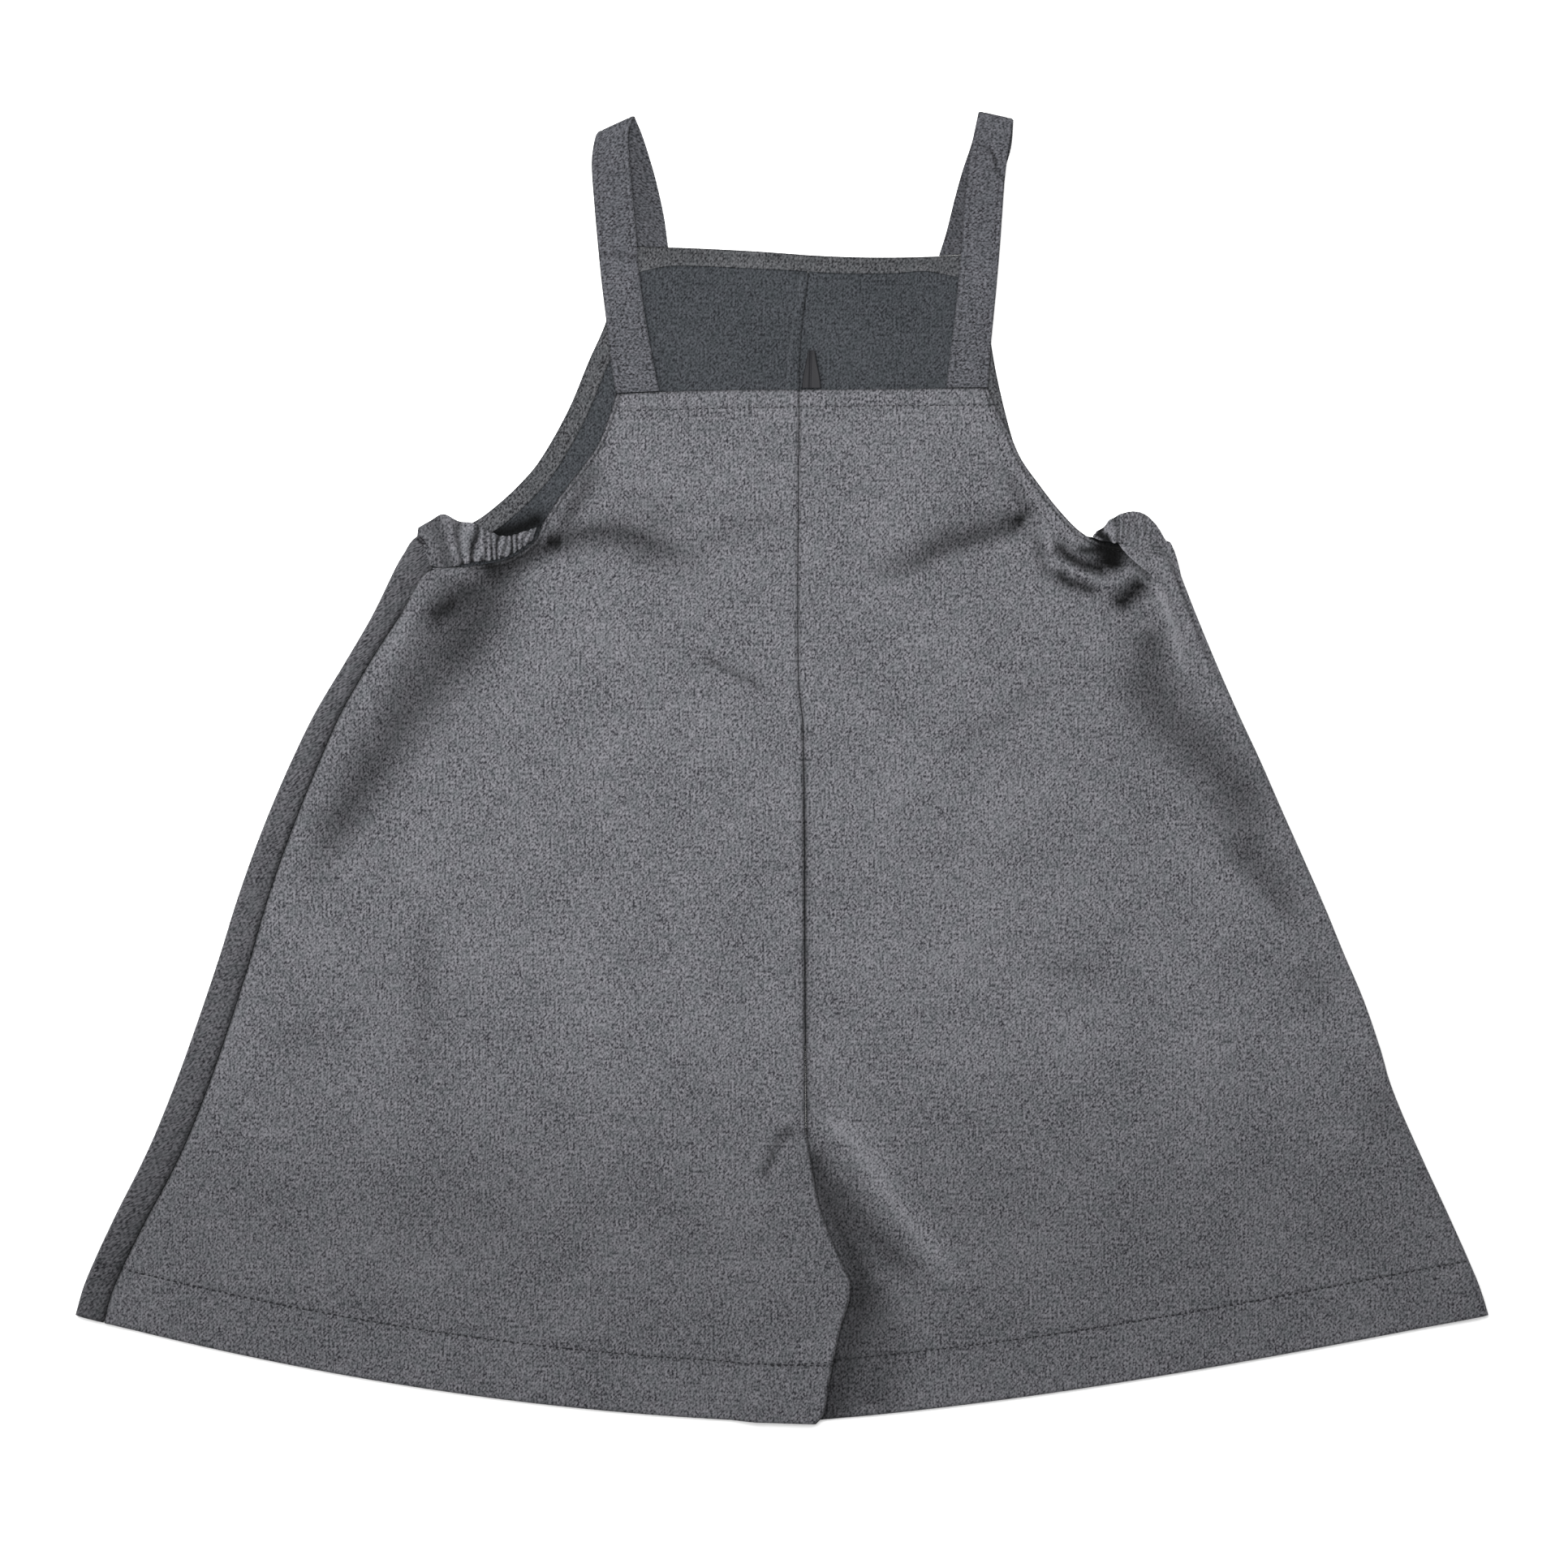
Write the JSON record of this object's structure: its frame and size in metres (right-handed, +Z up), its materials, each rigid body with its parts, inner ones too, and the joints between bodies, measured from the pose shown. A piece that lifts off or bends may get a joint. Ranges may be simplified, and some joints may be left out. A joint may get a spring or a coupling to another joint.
{
  "type": "shortalls",
  "caption": "Child's sleeveless A-line shortalls laid flat: square bib with folded-over shoulder straps, gathered underarms, centre seams and wide hemmed legs.",
  "frame": {"origin": "centre of the garment's outline on the surface that it lies on", "axes": "+Z up from the surface towards the back panel, +Y from the hems to the straps, +X to the viewer's right, which is the wearer's right side seam"},
  "size_m": [0.6268, 0.582, 0.0077],
  "materials": {
    "suiting": "matt heather twill suiting, mid grey",
    "suiting_inside": "matt heather twill suiting, inner face",
    "ribbon": "narrow black satin ribbon"
  },
  "bodies": {
    "root": {"back_left": "suiting", "back_right": "suiting", "front_left": "suiting", "front_right": "suiting", "strap_left": "suiting", "strap_right": "suiting", "front_neck_facing": "suiting", "front_armhole_facing_left": "suiting", "front_armhole_facing_right": "suiting", "front_seam_allowance": "suiting_inside", "underarm_casing_left": "suiting", "underarm_casing_right": "suiting", "hanger_loop": "ribbon"}
  },
  "joints": []
}
